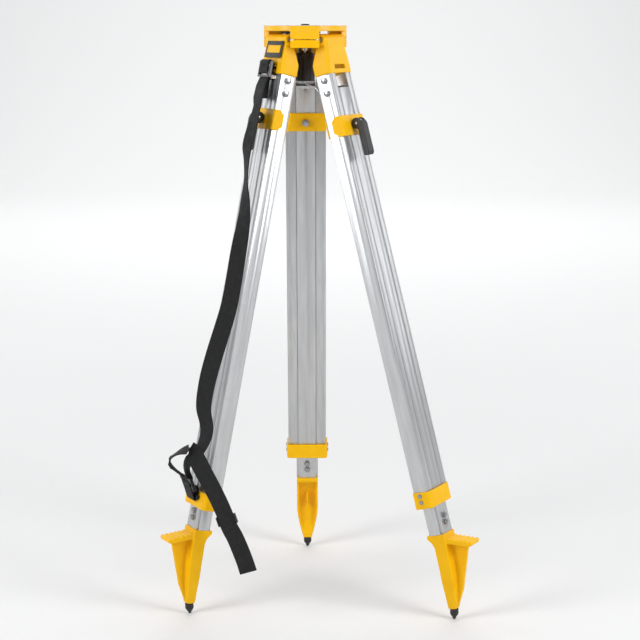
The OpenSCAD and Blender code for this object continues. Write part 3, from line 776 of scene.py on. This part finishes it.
def make_head(yellow, top, steel_bits, black_paint, black_plastic):
    identity = Matrix.Identity(4)
    settle(cast("head_plate", identity, top, 0.0010, 3), "head", "yellow_paint", "head_plate")
    for side in ("front", "left", "right"):
        node = "hinge_cap_" + side
        settle(cast(node, identity, yellow, 0.0008, 4), "head", "yellow_paint", node)
    settle(bevelled("head_fasteners", identity, steel_bits, 0.0004), "head", "steel", "head_fasteners")
    for node, body in (("screw_arm", "centring_arm"), ("screw_carrier", "carrier"), ("lift_yoke", "lift")):
        settle(bevelled(node, identity, black_paint, 0.0004), body, "black_steel", node)
    settle(cast("screw_knob", identity, black_plastic, 0.0006, 4), "screw", "black_plastic", "screw_knob")


def make_leg(leg, yellow, metal, steel_bits, black_plastic, black_iron):
    upper, lower, lever = "upper_" + leg, "lower_" + leg, "lever_" + leg
    fixed, sliding = leg_frame(leg), slide_frame(leg)

    def put(part, body, slot, make, *how):
        node = part + "_" + leg
        settle(make(node, *how), body, slot, node)

    put("bracket", upper, "yellow_paint", cast, fixed, yellow, 0.0009, 6)
    put("collar", upper, "yellow_paint", cast, fixed, yellow, 0.0007, 5)
    put("clamp_outer", lower, "yellow_paint", cast, sliding, yellow, 0.0006, 4)
    put("clamp_inner", lower, "yellow_paint", bevelled, sliding, yellow, 0.0006)
    put("foot", lower, "yellow_paint", cast, sliding, yellow, 0.0009, 5)
    put("lever", lever, "black_plastic", cast, sliding, black_plastic, 0.0006, 5)
    put("rails", upper, "aluminium", bevelled, fixed, metal, 0.0005)
    put("inner_leg", lower, "aluminium", bevelled, sliding, metal, 0.0005)
    put("end_plug", lower, "black_plastic", bevelled, sliding, black_plastic, 0.0006)
    put("foot_tip", lower, "black_point", bevelled, sliding, black_iron, 0.0006)
    for part, body, matrix in (
        ("hinge_pin", upper, fixed), ("rail_bolts", upper, fixed), ("clamp_bolt", lower, sliding),
        ("lever_pin", lower, sliding), ("foot_bolts", lower, sliding),
    ):
        put(part, body, "steel", bevelled, matrix, steel_bits, 0.0004)


def main():
    make_camera()
    cloth = webbing("black_webbing", (0.006, 0.006, 0.0065), (0.026, 0.026, 0.027))
    make_strap("strap_run_woven", RUN, cloth, "strap_run")
    make_strap("strap_tail_woven", TAIL, cloth, "strap_tail", hem=0.012)
    make_strap_loops(cloth)

    make_lights()
    make_floor(floor_finish())
    yellow = paint("yellow_powder_coat", *YELLOW)
    bright = steel("zinc_plated_steel")
    bolt_steel = steel("bolt_steel", (0.40, 0.40, 0.41), (0.2, 0.32))
    black_plastic = plastic("black_moulded_plastic", (0.014, 0.014, 0.015))
    black_paint = plastic("black_coated_steel", (0.012, 0.012, 0.012), (0.3, 0.45), 1200)
    black_iron = plastic("black_hardened_point", (0.018, 0.017, 0.016), (0.35, 0.6), 700)
    make_head(yellow, head_finish(YELLOW), bright, black_paint, black_plastic)
    make_screw(screw_finish())
    make_hook(bright)
    for leg in LEGS:
        make_leg(leg, yellow, alloy("anodised_alloy_" + leg, leg_frame(leg)), bolt_steel,
                 black_plastic, black_iron)
    left = leg_frame("left")
    buckle_plastic = plastic("glossy_buckle_plastic", (0.011, 0.011, 0.012), (0.16, 0.28), 900)
    settle(cast("strap_hardware", left, buckle_plastic, 0.0006, 4), "upper_left", "black_plastic",
           "strap_hardware")
    make_keeper(buckle_plastic)
    make_label(plastic("label_black", (0.02, 0.02, 0.022)), paint("label_yellow", *YELLOW))


main()
